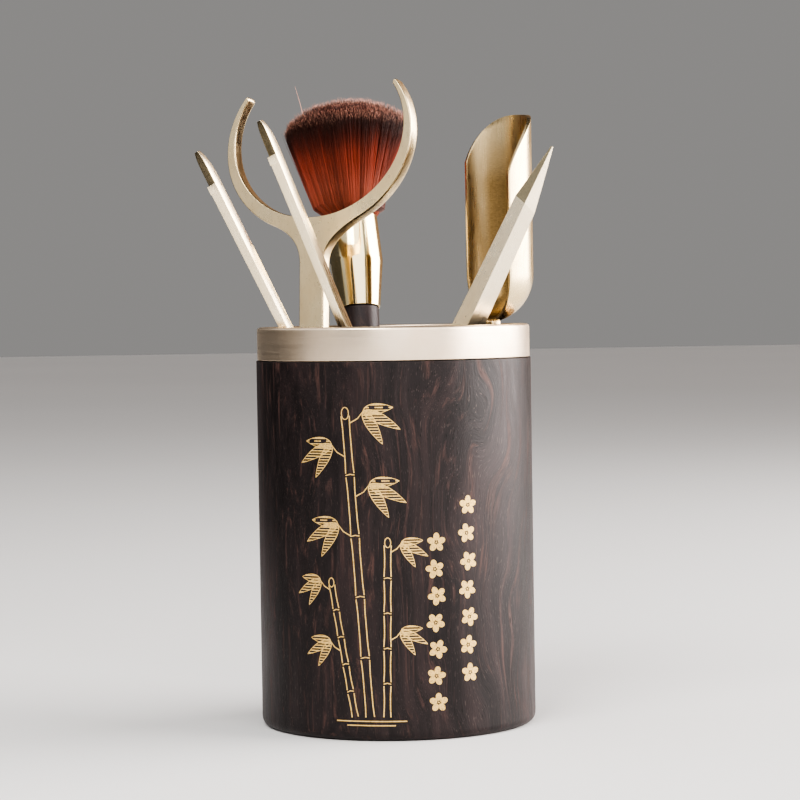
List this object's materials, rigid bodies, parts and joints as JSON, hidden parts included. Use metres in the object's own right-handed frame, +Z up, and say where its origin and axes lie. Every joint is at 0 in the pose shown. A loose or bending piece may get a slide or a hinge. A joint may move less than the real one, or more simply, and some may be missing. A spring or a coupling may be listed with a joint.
{
  "type": "tea tool pot",
  "caption": "Turned dark wooden pot with a brass collar and a gold-filled picture, holding a crescent strainer fork, spring tongs, a tea brush, a trough scoop and a square pick.",
  "frame": {"origin": "centre of the flat face that the pot stands on", "axes": "+Z up along the pot's axis, -Y towards the side with the picture, +X to the right of someone facing that side"},
  "size_m": [0.0959, 0.0872, 0.177],
  "materials": {
    "dark_wood": "satin, oiled, very dark with reddish streaks and a vertical grain",
    "collar_brass": "brushed round the rim, pale champagne",
    "tool_brass": "satin, with fine hand-filed scratches along its length",
    "ferrule_brass": "polished",
    "bristle": "soft goat-like hair, red-brown with dark ends and pale tips",
    "gold_inlay": "gold paint in a shallow engraving"
  },
  "bodies": {
    "pot": {"wood_body": "dark_wood", "brass_collar": "collar_brass"},
    "fork": {"strainer_fork": "tool_brass"},
    "tongs": {"tongs_heel": "tool_brass"},
    "leg_left": {"tongs_leg_left": "tool_brass"},
    "leg_right": {"tongs_leg_right": "tool_brass"},
    "brush": {"brush_handle": "dark_wood", "brush_ferrule": "ferrule_brass", "brush_bristles": "bristle"},
    "scoop": {"scoop_bowl": "tool_brass", "scoop_handle": "tool_brass"},
    "pick": {"tea_pick": "tool_brass"}
  },
  "joints": [
    {"name": "fork_lift", "type": "slide", "parent": "pot", "child": "fork", "axis": [0.0126, 0.1957, 0.9806], "range_m": [0, 0.106]},
    {"name": "tongs_lift", "type": "slide", "parent": "pot", "child": "tongs", "axis": [-0.3995, -0.0136, 0.9167], "range_m": [0, 0.113]},
    {"name": "brush_lift", "type": "slide", "parent": "pot", "child": "brush", "axis": [-0.0472, 0.2214, 0.974], "range_m": [0, 0.106]},
    {"name": "scoop_lift", "type": "slide", "parent": "pot", "child": "scoop", "axis": [-0.0059, -0.0983, 0.9951], "range_m": [0, 0.104]},
    {"name": "pick_lift", "type": "slide", "parent": "pot", "child": "pick", "axis": [0.4295, -0.1496, 0.8906], "range_m": [0, 0.116]},
    {"name": "leg_left_flex", "type": "hinge", "parent": "tongs", "child": "leg_left", "pos_m": [0.01618, -0.01094, 0.01504], "axis": [0.3849, 0.905, 0.1811], "range_deg": [0, 3.3], "stiffness_Nm_per_rad": 2},
    {"name": "leg_right_flex", "type": "hinge", "parent": "tongs", "child": "leg_right", "pos_m": [0.02283, -0.01434, 0.01789], "axis": [0.3849, 0.905, 0.1811], "range_deg": [-3.3, 0], "stiffness_Nm_per_rad": 2}
  ],
  "couplings": [
    {"joint": "leg_right_flex", "follows": "leg_left_flex", "ratio": -1}
  ]
}
